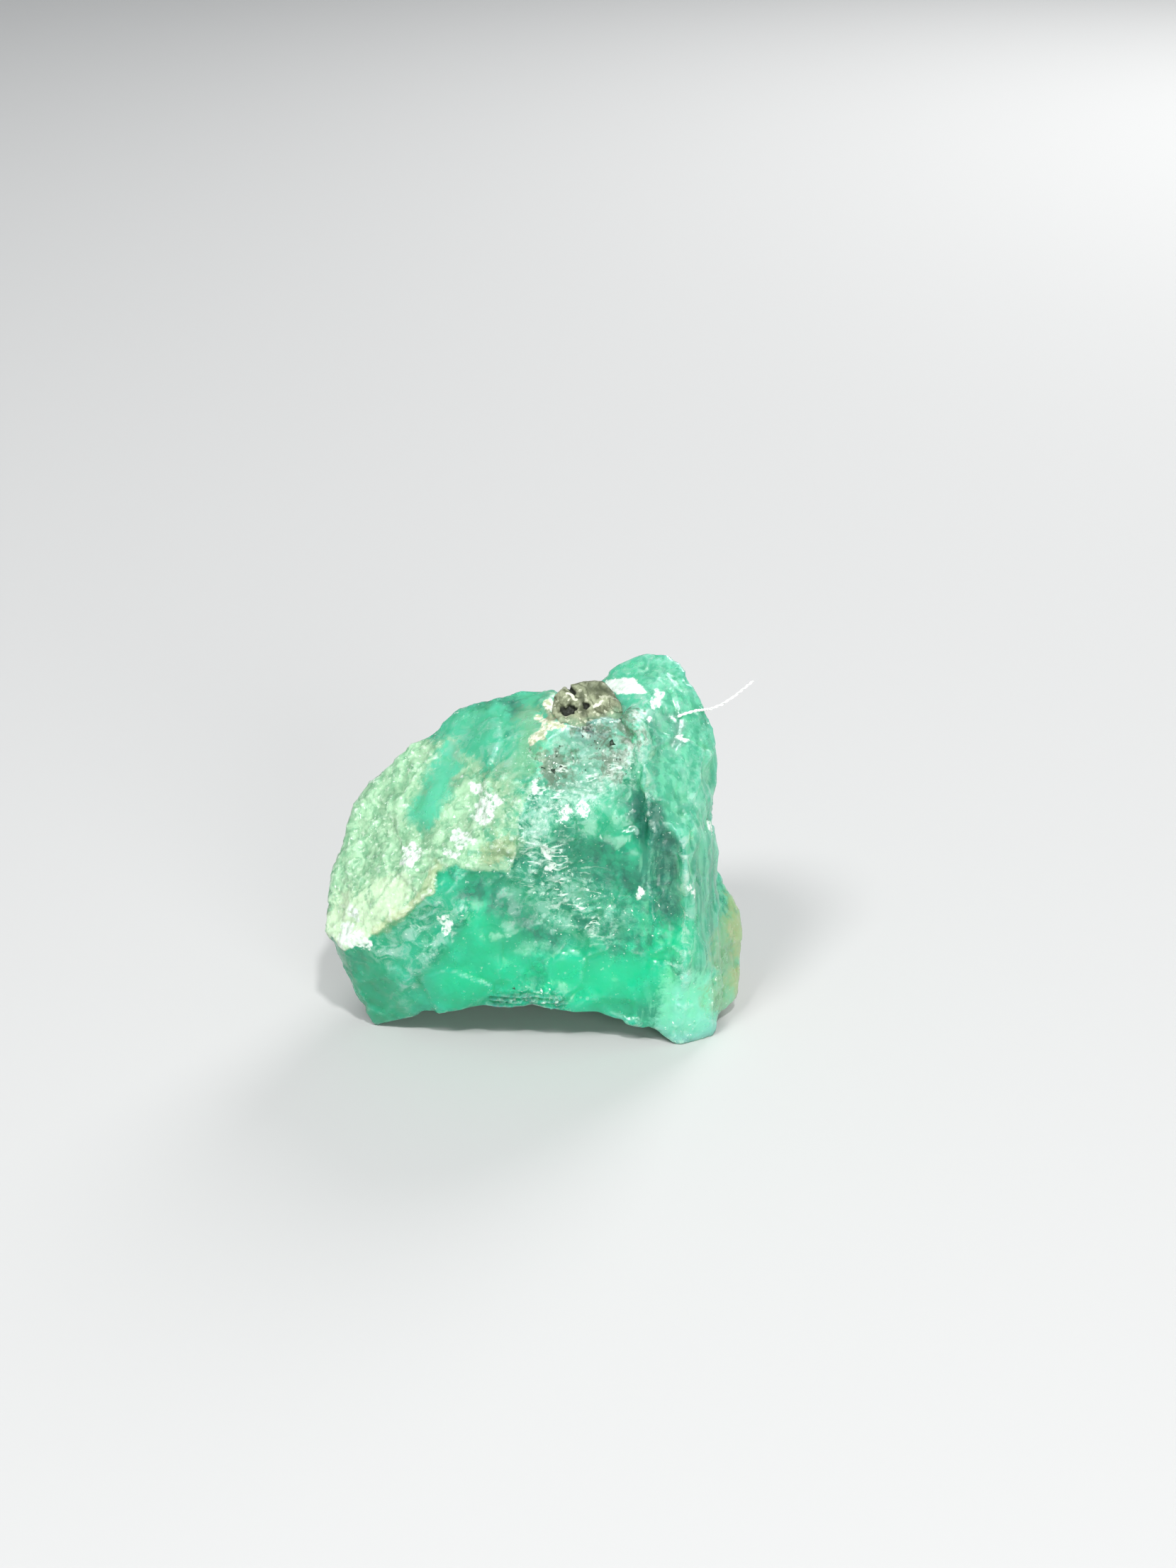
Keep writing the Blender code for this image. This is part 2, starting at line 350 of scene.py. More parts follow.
def emerald_masks(points, crest, where):
    """The fields of 0 to 1 that the material reads, by name."""
    across, up, facing = where["across"], where["up"], where["facing"]
    flat_across, flat_up = on_sheet(points)
    masks = {name: where[name] for name in ("crust", "hackly", "slab", "rough")}
    masks["crest"] = smooth(0.003, 0.020, crest) * (0.35 + 0.65 * where["rough"])
    # painted glow: light passing through the stone, painted as bright green along the lower front
    glow = band(across, up, [(-1.4, 1.45), (0.0, 1.35), (1.2, 1.4), (2.4, 1.6), (2.75, 2.4)], 1.15)
    glow = np.maximum(glow, 0.8 * band(across, up, [(-1.2, 2.8), (-1.0, 1.6)], 0.8))
    masks["glow"] = glow * facing
    # painted shade: dim spots, the shade stretches and the lip over the arch painted dark teal
    shade_spots = 0.45 * spots(across, up, [(0.8, 4.5, 0.55), (1.5, 3.9, 0.8)])
    painted_shade = np.maximum.reduce([bands(across, up, SHADE_STRETCHES), shade_spots, 0.5 * where["lip"]])
    masks["painted_shade"] = painted_shade * facing
    upper_rib = band(across, up, [(2.3, 7.2), (2.45, 6.3), (2.4, 5.4)], 0.2)
    masks["rib"] = np.maximum(where["rib"], 0.7 * upper_rib * facing)
    # darker olive round the schist grain and along its lower edge
    dark_olive = spots(across, up, [(0.45, 5.95, 0.75), (1.60, 6.40, 0.6), (2.0, 6.75, 0.6), (1.6, 6.0, 0.6)])
    dark_olive = np.maximum(dark_olive, band(across, up, [(0.95, 6.65), (1.5, 6.60), (2.05, 6.9)], 0.3))
    masks["dark_olive"] = 0.75 * facing * dark_olive
    frosted = [(2.3, 6.9), (2.0, 6.0), (1.2, 5.3), (0.3, 5.1), (0.0, 4.5)]
    masks["frost"] = facing * band(across, up, frosted, 0.70)
    # white spots: partly bruised frosting, partly painted glints
    jitter = 0.16 * fractal(points, 0.28, 4, seed=31)
    masks["white"] = facing * spots(across + jitter, up - 0.8 * jitter, FROST_AND_GLINT_SPOTS)
    hidden_veil = 0.6 * (1 - facing) * smooth(0.0, 0.5, where["broad"])
    masks["veil"] = np.maximum(bands(across, up, VEILS) * facing, hidden_veil)
    stain = spots(across, up, [(4.35, 2.0, 1.0), (4.3, 1.1, 0.9), (3.75, 1.0, 0.5)])
    masks["stain"] = stain * smooth(0.0, 1.0, points[:, 0] - 3.1)
    masks["amber"] = smooth(3.95, 4.5, points[:, 0] + 0.3 * where["broad"]) * smooth(3.0, 2.2, points[:, 2])
    # painted glow: the right foot painted bright mint, as if lit by light through the stone
    masks["foot"] = smooth(2.1, 1.0, up) * smooth(2.3, 2.9, across) * facing
    rust = band(across, up, [(-3.3, 2.45), (-2.9, 2.80), (-2.25, 3.32), (-2.02, 3.9)], 0.20)
    masks["rust"] = np.maximum(rust, band(across, up, [(-0.95, 4.2), (-0.4, 4.3)], 0.4)) * facing
    masks["sage"] = facing * band(across, up, [(-0.12, 6.95), (-0.12, 6.2), (-0.65, 5.6)], 0.55)
    masks["halo"] = facing * spots(across, up, [(1.15, 6.3, 1.2), (0.7, 5.9, 0.8)])
    cream = np.maximum.reduce([
        band(flat_across, flat_up, [(-0.04, 6.49), (0.16, 6.62), (0.29, 6.80), (0.62, 6.78)], 0.17),
        band(flat_across, flat_up, [(0.29, 6.80), (0.06, 7.01)], 0.14),
        spots(flat_across, flat_up, [(0.30, 7.27, 0.18)])])
    masks["cream"] = facing * cream
    masks["tan"] = facing * band(flat_across, flat_up, [(0.33, 7.22), (0.34, 6.90)], 0.20)
    # painted reflection: white glare on the flat break beside the grain
    masks["facet"] = facing * panel(flat_across, flat_up, GLARE_FACET, 0.09)
    corner = spots(across, up, [(-3.9, 2.5, 1.1), (-3.0, 3.2, 0.7)])
    masks["bright"] = facing * corner * where["crust"]
    # paler mint on the right slab, the top edge and a streak: partly the stone's paler colour, partly
    # painted light where these faces catch the lamp
    pale = np.maximum(0.3 * smooth(2.9, 3.3, across), 0.45 * smooth(5.6, 6.6, up + 0.45 * (across + 1.0)))
    pale = np.maximum(pale, 0.7 * where["streak"])
    masks["pale"] = pale
    return masks


def shape_emerald():
    """The stone: a fine copy of the CAD crystal, with its relief and its painted fields."""
    piece = fine_copy("emerald", "emerald_crystal", EMERALD_VOXEL, 4)
    points, normals = points_of(piece), normals_of(piece)
    where = lay_out(points, normals)
    set_points(piece, points + normals * emerald_relief(points, normals, where)[:, None])
    for name, values in emerald_masks(points_of(piece), edge_wear(piece, 6), where).items():
        set_mask(piece, name, values)
    return piece


# ---------------------------------------------------------------- the schist grain and small things

# The grain's middle and half-size on the sheet, as (across, up).
GRAIN_MIDDLE = (1.22, 7.04)
GRAIN_REACH = (0.92, 0.64)
MICA_FLAKES = 90
VEIL_DISCS = 120


def shape_grain():
    """The lodged grain: a rounded lump of mica schist in tilted leaves, with dark pits and slits."""
    piece = fine_copy("schist_grain", "mica_schist_grain", GRAIN_VOXEL, 6)
    points, normals = points_of(piece), normals_of(piece)
    across, up = on_sheet(points)
    (middle, height), (wide, tall) = GRAIN_MIDDLE, GRAIN_REACH
    rim = np.hypot((across - middle) / wide, (up - height) / tall)
    inward = np.array((middle, 0.0, 6.5)) - points
    inward[:, 1] = 0
    points = points + inward * (0.75 * np.clip(1 - 1 / np.maximum(rim, 1), 0, 0.5))[:, None]
    across, up = on_sheet(points)
    leaf = points[:, 0] * 0.6 + points[:, 2] * 0.8 + 0.25 * fractal(points, 0.7, 2, seed=21)
    layer = (leaf / 0.24) % 1.0
    lump, crack = facets(points, 0.50, seed=22)
    small, small_crack = facets(points, 0.20, seed=25)
    lift = 0.06 + 0.08 * lump * smooth(0, 0.1, crack) + 0.03 * small * smooth(0, 0.3, small_crack)
    wobble = 0.08 * fractal(points, 0.2, 3, seed=24)
    pit = spots(across + wobble, up + wobble, [(0.64, 7.10, 0.16), (0.76, 7.12, 0.15), (1.08, 7.22, 0.10)])
    pit = np.maximum(pit, band(across + 0.3 * wobble, up, [(0.66, 7.66), (0.84, 7.48)], 0.07))
    lift -= 0.14 * pit
    set_points(piece, points + normals * lift[:, None])
    set_mask(piece, "pit", pit)
    rim_shade = band(across, up, [(1.15, 7.56), (1.55, 7.52), (1.78, 7.30)], 0.20)
    set_mask(piece, "shade", np.maximum(rim_shade, band(across, up, [(0.98, 7.45), (1.02, 7.0)], 0.12)))
    set_mask(piece, "green", smooth(7.0, 6.65, up - 0.3 * smooth(1.0, 1.9, across) + wobble))
    set_mask(piece, "glint", band(across, up + wobble, [(0.70, 7.44), (0.86, 7.34)], 0.07)
             + band(across, up + wobble, [(1.22, 7.19), (1.40, 7.25)], 0.05))
    broken = smooth(0.0, 0.3, fractal(points, 0.4, 2, seed=26))
    set_mask(piece, "layer", np.maximum(smooth(0.0, 0.12, layer) * smooth(1.0, 0.94, layer), broken))
    set_mask(piece, "crest", smooth(0.0, 0.012, edge_wear(piece, 5)))
    return piece


def flake(shape, centre, normal, radius, thick, pick, sides=7):
    """Adds one closed thin flake with a ragged rim."""
    turn = Vector(normal).to_track_quat("Z", "Y").to_matrix()
    start = pick.uniform(0, math.tau)
    rings = []
    for height in (-thick / 2, thick / 2):
        ring = []
        for side in range(sides):
            angle = start + math.tau * side / sides
            reach = radius * (0.7 + 0.3 * math.sin(3.1 * side + start))
            spot = Vector((reach * math.cos(angle), reach * math.sin(angle), height))
            ring.append(shape.verts.new((Vector(centre) + turn @ spot) * MM))
        rings.append(ring)
    low, high = rings
    shape.faces.new(low[::-1])
    shape.faces.new(high)
    for side in range(sides):
        after = (side + 1) % sides
        shape.faces.new((low[side], low[after], high[after], high[side]))


def joined(name, shape):
    """A new piece from a finished bmesh."""
    mesh = bpy.data.meshes.new(name)
    shape.to_mesh(mesh)
    shape.free()
    piece = bpy.data.objects.new(name, mesh)
    bpy.context.scene.collection.objects.link(piece)
    return piece


def mica_specks(stone):
    """Small dark flakes of mica in the skin of the stone, thickest just under the schist grain."""
    pick = np.random.default_rng(5)
    points, normals = points_of(stone), normals_of(stone)
    across, up = on_sheet(points)
    near = spots(across, up, [(1.3, 6.3, 1.0), (0.5, 5.9, 0.45), (1.75, 6.6, 0.5)]) * (normals[:, 1] < -0.1)
    chance = near * 10 + 0.06
    shape = bmesh.new()
    for at in pick.choice(len(points), MICA_FLAKES, replace=False, p=chance / chance.sum()):
        radius = 0.015 + 0.06 * pick.random() ** 3
        lean = normals[at] + pick.normal(0, 0.5, 3)
        flake(shape, points[at] - normals[at] * 0.4 * radius, lean, radius, radius * 0.5, pick)
    for x, y, radius in [(1.59, 6.42, 0.09), (0.40, 5.86, 0.07), (0.55, 5.95, 0.05), (-0.45, 1.25, 0.045)]:
        at = np.argmin(np.hypot(across - x, up - y) + 9 * (normals[:, 1] > -0.1))
        flake(shape, points[at] - normals[at] * 0.02, normals[at], radius, 0.05, pick)
    return joined("mica_specks", shape)


def healed_veils(stone):
    """Thin healed fractures sealed inside the crystal, a little under its skin."""
    pick = np.random.default_rng(8)
    points, normals = points_of(stone), normals_of(stone)
    shape = bmesh.new()
    shape.from_mesh(stone.data)
    skin = bvhtree.BVHTree.FromBMesh(shape)
    shape.free()
    shape = bmesh.new()
    for at in pick.choice(len(points), VEIL_DISCS, replace=False):
        centre = points[at] - normals[at] * pick.uniform(0.3, 1.2)
        room = skin.find_nearest(Vector(centre) * MM)[3] / MM
        if room > 0.25:
            lean = normals[at] + pick.normal(0, 0.35, 3)
            flake(shape, centre, lean, min(0.55, room * 0.85) * pick.uniform(0.6, 1.0), 0.012, pick, 11)
    return joined("healed_veils", shape)


# The lint's route as (across, up), the length of half a turn of its twist, and the distance between
# the middles of its two strands.
LINT_PATH = [(3.00, 6.99), (3.15, 7.05), (3.40, 7.12), (3.70, 7.16), (3.95, 7.26), (4.20, 7.42),
             (4.42, 7.60), (4.62, 7.76)]
LINT_HALF_TURN = 0.13
STRANDS_APART = 0.036


def lint_fibre(stone):
    """A white thread of two twisted strands that lies over the right shoulder and sticks out."""
    points, normals = points_of(stone), normals_of(stone)
    across, up = on_sheet(points)
    route = []
    for x, y in LINT_PATH:
        near = (np.hypot(across - x, up - y) < 0.12) & (normals[:, 1] < 0.2)
        depth = points[near, 1].min() - 0.03 if near.any() else route[-1].y - 0.01
        route.append(Vector((x, depth, (y - (depth - FOOT_Y) * math.sin(LEAN)) / math.cos(LEAN))))
    curve = bpy.data.curves.new("lint_fibre", "CURVE")
    curve.dimensions = "3D"
    curve.bevel_depth = 0.42 * STRANDS_APART * MM
    curve.bevel_resolution = 2
    curve.use_fill_caps = True
    length = 0.0
    middle, phase = [], []
    for start, end in zip(route[:-1], route[1:]):
        for step in range(16):
            middle.append(start.lerp(end, step / 16))
            phase.append(length + (end - start).length * step / 16)
        length += (end - start).length
    for strand in range(2):
        spline = curve.splines.new("POLY")
        spline.points.add(len(middle) - 1)
        for place, spot, run in zip(spline.points, middle, phase):
            angle = math.tau * run / LINT_HALF_TURN / 2 + math.pi * strand
            around = Vector((0, math.cos(angle), math.sin(angle))) * 0.5 * STRANDS_APART
            place.co = (*((spot + around) * MM), 1.0)
    piece = bpy.data.objects.new("lint_fibre", curve)
    bpy.context.scene.collection.objects.link(piece)
    return made_mesh(piece)


# ---------------------------------------------------------------- materials

# Colours of the stone.
BODY_DEEP = (0.030, 0.47, 0.25)
BODY_MILKY = (0.050, 0.62, 0.37)
SLAB_DARK = (0.040, 0.35, 0.22)
SLAB_LIGHT = (0.19, 0.62, 0.41)
PALE_AND_LIT_MINT = (0.26, 0.92, 0.60)
LIT_GREEN = (0.010, 0.72, 0.37)
MOTTLE_DARK = (0.025, 0.25, 0.165)
FACET_SHADE_DARK = (0.035, 0.27, 0.18)
SHADE_TEAL = (0.022, 0.19, 0.135)
RIB_YELLOW = (0.50, 0.78, 0.50)
HALO_GREY = (0.28, 0.55, 0.42)
SAGE = (0.33, 0.66, 0.40)
VEIL_PALE = (0.43, 0.76, 0.62)
DARK_OLIVE = (0.13, 0.20, 0.12)
CRUST_GREEN = (0.22, 0.45, 0.25)
CRUST_PALE = (0.40, 0.63, 0.39)
CRUST_GRAINS = (0.62, 0.80, 0.58)
CRUST_PITS = (0.16, 0.36, 0.19)
CRUST_BRIGHT = (0.66, 0.84, 0.56)
FOOT_GLOW_MINT = (0.30, 1.0, 0.66)
STAIN_OLIVE = (0.33, 0.62, 0.34)
AMBER = (0.47, 0.57, 0.28)
RUST = (0.38, 0.35, 0.13)
TAN = (0.46, 0.46, 0.27)
CREAM_DARK = (0.52, 0.60, 0.36)
CREAM_LIGHT = (0.92, 0.93, 0.74)
FROST_AND_GLINT_WHITE = (0.78, 0.90, 0.80)
CLEAR_GREEN = (0.05, 0.78, 0.48)
ABSORPTION = 330.0
BERYL_IOR = 1.58

# A bump distance that turns a height in metres, such as a shard's, into the same height.
TILT = 1000.0


class Paint:
    """Builds one material's nodes."""

    def __init__(self, name):
        self.material = bpy.data.materials.new(name)
        self.material.use_nodes = True
        self.tree = self.material.node_tree
        self.shader = self.tree.nodes["Principled BSDF"]
        self.output = self.tree.nodes["Material Output"]
        self.place = self.tree.nodes.new("ShaderNodeTexCoord").outputs["Object"]

    def put(self, socket, value):
        """Links a socket to a value's output, or sets it as a number or colour."""
        if isinstance(value, bpy.types.NodeSocket):
            self.tree.links.new(value, socket)
        elif isinstance(value, tuple) and len(value) == 3 and socket.type == "RGBA":
            socket.default_value = (*value, 1.0)
        else:
            socket.default_value = value

    def noise(self, size, detail=4.0, stretch=(1, 1, 1), roughness=0.55, twist=0.0):
        """Noise of 0 to 1 whose grain is size millimetres across."""
        place = self.place
        if stretch != (1, 1, 1):
            squeeze = self.tree.nodes.new("ShaderNodeMapping")
            self.put(squeeze.inputs["Vector"], place)
            squeeze.inputs["Scale"].default_value = tuple(1 / s for s in stretch)
            place = squeeze.outputs["Vector"]
        node = self.tree.nodes.new("ShaderNodeTexNoise")
        self.put(node.inputs["Vector"], place)
        node.inputs["Scale"].default_value = 1 / (size * MM)
        node.inputs["Detail"].default_value = detail
        node.inputs["Roughness"].default_value = roughness
        node.inputs["Distortion"].default_value = twist
        return node.outputs["Fac"]

    def shards(self, size):
        """Random cells, size millimetres across: each cell's own value of 0 to 1, and the height in
        metres of a plane through the cell that leans its own way."""
        node = self.tree.nodes.new("ShaderNodeTexVoronoi")
        self.put(node.inputs["Vector"], self.place)
        node.inputs["Scale"].default_value = 1 / (size * MM)
        apart = self.tree.nodes.new("ShaderNodeSeparateColor")
        self.put(apart.inputs["Color"], node.outputs["Color"])
        away = self.vector("SUBTRACT", self.place, node.outputs["Position"])
        lean = self.vector("SUBTRACT", node.outputs["Color"], (0.5, 0.5, 0.5))
        return apart.outputs["Red"], self.vector("DOT_PRODUCT", away, lean, "Value")

    def vector(self, operation, first, second, output="Vector"):
        """Vector arithmetic on two values."""
        node = self.tree.nodes.new("ShaderNodeVectorMath")
        node.operation = operation
        self.put(node.inputs[0], first)
        self.put(node.inputs[1], second)
        return node.outputs[output]

    def mask(self, name):
        """A number that the mesh stores for each of its points."""
        node = self.tree.nodes.new("ShaderNodeAttribute")
        node.attribute_name = name
        return node.outputs["Fac"]

    def math(self, operation, first, second=0.0, clamp=False):
        """Arithmetic on two numbers."""
        node = self.tree.nodes.new("ShaderNodeMath")
        node.operation = operation
        node.use_clamp = clamp
        self.put(node.inputs[0], first)
        self.put(node.inputs[1], second)
        return node.outputs["Value"]

    def step(self, value, low, high, start=0.0, end=1.0):
        """A soft step: start below low, end above high."""
        node = self.tree.nodes.new("ShaderNodeMapRange")
        node.interpolation_type = "SMOOTHSTEP"
        self.put(node.inputs["Value"], value)
        node.inputs["From Min"].default_value = low
        node.inputs["From Max"].default_value = high
        node.inputs["To Min"].default_value = start
        node.inputs["To Max"].default_value = end
        return node.outputs["Result"]

    def product(self, first, second):
        """Two colours multiplied."""
        node = self.tree.nodes.new("ShaderNodeMix")
        node.data_type = "RGBA"
        node.blend_type = "MULTIPLY"
        self.put(node.inputs["Factor"], 1.0)
        self.put(node.inputs["A"], first)
        self.put(node.inputs["B"], second)
        return node.outputs["Result"]

    def mix(self, share, first, second):
        """A share of the second colour laid over the first."""
        node = self.tree.nodes.new("ShaderNodeMix")
        node.data_type = "RGBA"
        self.put(node.inputs["Factor"], share)
        self.put(node.inputs["A"], first)
        self.put(node.inputs["B"], second)
        return node.outputs["Result"]

    def cover(self, under, share, strength, over):
        """Lays a colour over another by strength times a share of 0 to 1."""
        return self.mix(self.math("MULTIPLY", share, strength), under, over)

    def bump(self, height, distance, strength=1.0, under=None):
        """Bumps a surface by a height of 0 to 1 times a distance in millimetres."""
        node = self.tree.nodes.new("ShaderNodeBump")
        node.inputs["Strength"].default_value = strength
        node.inputs["Distance"].default_value = distance * MM
        self.put(node.inputs["Height"], height)
        if under is not None:
            self.put(node.inputs["Normal"], under)
        return node.outputs["Normal"]

    def set(self, **sockets):
        """Sets the shader's own sockets, named with _ for a space."""
        for name, value in sockets.items():
            self.put(self.shader.inputs[name.replace("_", " ")], value)


def emerald_material():
    """Cloudy green beryl: its body colour, veils, crust, stains and white bruises, with painted glow, shade
    and highlights, then its surface.
    """
    paint = Paint("emerald_green")
    cloud = paint.noise(1.3, 5.0, twist=0.6)
    mottle = paint.noise(0.30, 6.0, roughness=0.65, twist=0.8)
    grain = paint.noise(0.12, 5.0, roughness=0.62)
    fine = paint.noise(0.05, 4.0)
    shard_value, shard_tilt = paint.shards(0.13)
    chip_value, chip_tilt = paint.shards(0.06)
    broken_value, broken_tilt = paint.shards(0.36)
    teeth = paint.math("MULTIPLY", mottle, 1.6)
    teeth = paint.math("ADD", teeth, paint.math("MULTIPLY", shard_value, 0.25))
    teeth = paint.math("ADD", teeth, paint.math("MULTIPLY", chip_value, 0.15))
    teeth = paint.math("SUBTRACT", teeth, 1.0)

    def torn(mask, low, high, amount=1.0):
        """A mask with its border torn up by noise and shards."""
        value = paint.mask(mask)
        bite = paint.math("MULTIPLY", teeth, amount)
        bite = paint.math("MULTIPLY", bite, paint.step(value, 0.0, 0.25))
        return paint.step(paint.math("ADD", value, bite), low, high)

    # body colour: milky green with teal depths and a striped slab; over it paler mint that is partly
    # painted light, and a painted glow of light through the lower front
    colour = paint.mix(paint.step(cloud, 0.35, 0.68), BODY_DEEP, BODY_MILKY)
    streaks = paint.step(paint.noise(0.16, 4.0, stretch=(1, 1, 9)), 0.35, 0.65)
    slab = paint.mix(paint.step(streaks, 0.2, 0.8), SLAB_DARK, SLAB_LIGHT)
    colour = paint.mix(paint.mask("slab"), colour, slab)
    # partly painted light: paler mint where the right slab, the top edge and a streak catch the lamp
    colour = paint.cover(colour, paint.mask("pale"), 0.8, PALE_AND_LIT_MINT)
    # painted glow: bright green along the lower front, standing in for light shining through the stone
    lit = paint.math("MULTIPLY", paint.mask("glow"), paint.step(cloud, 0.25, 0.55, 0.6, 1.0))
    colour = paint.mix(lit, colour, LIT_GREEN)
    # darker and lighter mottling
    dark = paint.math("MULTIPLY", paint.step(mottle, 0.55, 0.40), paint.mask("rough"))
    colour = paint.cover(colour, dark, 0.55, MOTTLE_DARK)
    # painted shade: some broken facets darker, as facets that catch less light
    tone = paint.math("MULTIPLY", paint.step(broken_value, 0.3, 0.9, 0.0, 0.35), paint.mask("rough"))
    colour = paint.mix(tone, colour, FACET_SHADE_DARK)
    # painted shade: dark teal in the recesses, where the clear stone shows dark, and along the arch lip
    colour = paint.cover(colour, torn("painted_shade", 0.0, 1.0), 0.92, SHADE_TEAL)
    yellowish = paint.math("MULTIPLY", torn("rib", 0.3, 1.0, 1.8), paint.step(mottle, 0.42, 0.60))
    colour = paint.cover(colour, yellowish, 0.6, RIB_YELLOW)
    # veils: whitish clouds of tiny fractures
    colour = paint.cover(colour, torn("halo", 0.1, 1.0), 0.7, HALO_GREY)
    colour = paint.cover(colour, torn("sage", 0.1, 0.9), 0.65, SAGE)
    veil = paint.math("MULTIPLY", paint.mask("veil"), paint.step(mottle, 0.43, 0.62))
    colour = paint.cover(colour, veil, 0.85, VEIL_PALE)
    # darker olive round the schist grain and along its lower edge
    colour = paint.cover(colour, torn("dark_olive", 0.35, 1.0, 2.0), 0.8, DARK_OLIVE)
    # the pale crust
    skin = paint.mix(paint.step(mottle, 0.38, 0.60), CRUST_GREEN, CRUST_PALE)
    skin = paint.mix(paint.step(grain, 0.54, 0.68), skin, CRUST_GRAINS)
    skin = paint.mix(paint.step(paint.noise(0.17, 5.0), 0.60, 0.70), skin, CRUST_PITS)
    skin = paint.cover(skin, torn("bright", 0.0, 1.0, 1.6), 0.9, CRUST_BRIGHT)
    colour = paint.cover(colour, torn("crust", 0.0, 0.75, 0.8), 0.90, skin)
    # stains, a painted glow on the right foot as if light shines through it, and the cream skin beside the
    # grain
    colour = paint.cover(colour, torn("foot", 0.1, 0.9), 0.85, FOOT_GLOW_MINT)
    colour = paint.cover(colour, torn("stain", 0.2, 0.9), 0.8, STAIN_OLIVE)
    colour = paint.cover(colour, torn("amber", 0.1, 0.9), 0.8, AMBER)
    colour = paint.cover(colour, torn("rust", 0.2, 0.9), 0.35, RUST)
    colour = paint.cover(colour, torn("tan", 0.2, 0.8), 0.8, TAN)
    cream = paint.mix(paint.step(grain, 0.40, 0.55), CREAM_DARK, CREAM_LIGHT)
    colour = paint.mix(torn("cream", 0.30, 0.70, 1.5), colour, cream)
    # white: crushed crests, frosting and veil blotches; painted highlights as wavy glints on the hackly
    # front, sparkle specks and a glare on the flat break; and white spots that are partly bruised frosting,
    # partly painted glints
    crest = paint.math("MULTIPLY", paint.mask("crest"), paint.step(grain, 0.42, 0.62))
    # painted highlights: thin wavy glints on the hackly front
    wave = paint.math("FRACT", paint.math("MULTIPLY", paint.noise(0.8, 4.0, stretch=(2.2, 1, 0.6)), 7.0))
    thread = paint.step(paint.math("ABSOLUTE", paint.math("SUBTRACT", wave, 0.5)), 0.13, 0.03)
    thread = paint.math("MULTIPLY", thread, paint.step(paint.noise(0.35, 3.0), 0.47, 0.55))
    thread = paint.math("MULTIPLY", thread, paint.mask("hackly"))
    clouded = paint.math("MAXIMUM", veil, paint.mask("hackly"))
    blotch = paint.math("MULTIPLY", paint.step(grain, 0.56, 0.70), clouded)
    spatter = paint.noise(0.11, 7.0, roughness=0.7)
    spatter = paint.math("MULTIPLY", paint.math("SUBTRACT", spatter, 0.5), 3.0)
    # white spots: partly bruised frosting, partly painted glints
    bruise_and_glint = paint.math("MULTIPLY", paint.math("MULTIPLY", spatter, 1.4), paint.mask("white"))
    bruise_and_glint = paint.step(paint.math("ADD", paint.mask("white"), bruise_and_glint), 0.38, 1.05)
    # painted reflection: white glare on the flat break beside the grain
    facet = paint.math("ADD", paint.mask("facet"), paint.math("MULTIPLY", spatter, 0.45))
    bruise_and_glint = paint.math("MAXIMUM", bruise_and_glint, paint.step(facet, 0.35, 0.70))
    # painted highlights: small white sparkles over the rough stone
    painted_sparkles = paint.step(paint.noise(0.085, 2.0), 0.665, 0.72)
    painted_sparkles = paint.math("MULTIPLY", painted_sparkles, paint.step(paint.mask("rough"), 0.0, 0.8, 0.2, 0.9))
    white = paint.math("MAXIMUM", paint.math("MULTIPLY", crest, 0.6), bruise_and_glint)
    white = paint.math("MAXIMUM", white, painted_sparkles)
    frost = paint.math("ADD", paint.mask("frost"), paint.math("MULTIPLY", spatter, 0.7))
    frost = paint.math("MULTIPLY", paint.step(frost, 0.65, 1.35), paint.step(paint.mask("frost"), 0.0, 0.3))
    white = paint.math("MAXIMUM", white, paint.math("MULTIPLY", frost, 0.6))
    white = paint.math("MAXIMUM", white, paint.math("MULTIPLY", blotch, 0.75))
    white = paint.math("MAXIMUM", white, paint.math("MULTIPLY", thread, 0.85), clamp=True)
    colour = paint.mix(white, colour, FROST_AND_GLINT_WHITE)
    paint.set(Base_Color=colour)
    # the surface: glassy and cloudy where it is clean, dull and solid where it is white or crusted
    rough = paint.step(paint.noise(0.35, 3.0), 0.35, 0.65, 0.08, 0.28)
    paint.set(Roughness=paint.math("MAXIMUM", rough, paint.math("MULTIPLY", paint.mask("crust"), 0.40)))
    solid = paint.math("MAXIMUM", white, paint.mask("crust"))
    solid = paint.math("MAXIMUM", solid, paint.mask("cream"))
    paint.set(Transmission_Weight=paint.step(solid, 0.0, 1.0, 0.34, 0.04))
    paint.set(Subsurface_Weight=paint.step(solid, 0.0, 0.35, 1.0, 0.12))
    paint.set(IOR=BERYL_IOR, Specular_IOR_Level=0.35, Subsurface_Scale=0.0010)
    paint.shader.inputs["Subsurface Radius"].default_value = (0.4, 1.0, 0.75)
    relief = paint.bump(paint.math("MULTIPLY", grain, paint.mask("rough")), 0.05, 0.8)
    relief = paint.bump(paint.math("MULTIPLY", broken_tilt, paint.mask("rough")), TILT, 0.40, relief)
    relief = paint.bump(paint.math("MULTIPLY", shard_tilt, paint.mask("rough")), TILT, 0.45, relief)
    relief = paint.bump(paint.math("MULTIPLY", chip_tilt, white), TILT, 0.5, relief)
    paint.set(Normal=paint.bump(fine, 0.006, 0.5, relief))
    absorb = paint.tree.nodes.new("ShaderNodeVolumeAbsorption")
    absorb.inputs["Color"].default_value = (*CLEAR_GREEN, 1.0)
    absorb.inputs["Density"].default_value = ABSORPTION
    paint.tree.links.new(absorb.outputs["Volume"], paint.output.inputs["Volume"])
    return paint.material


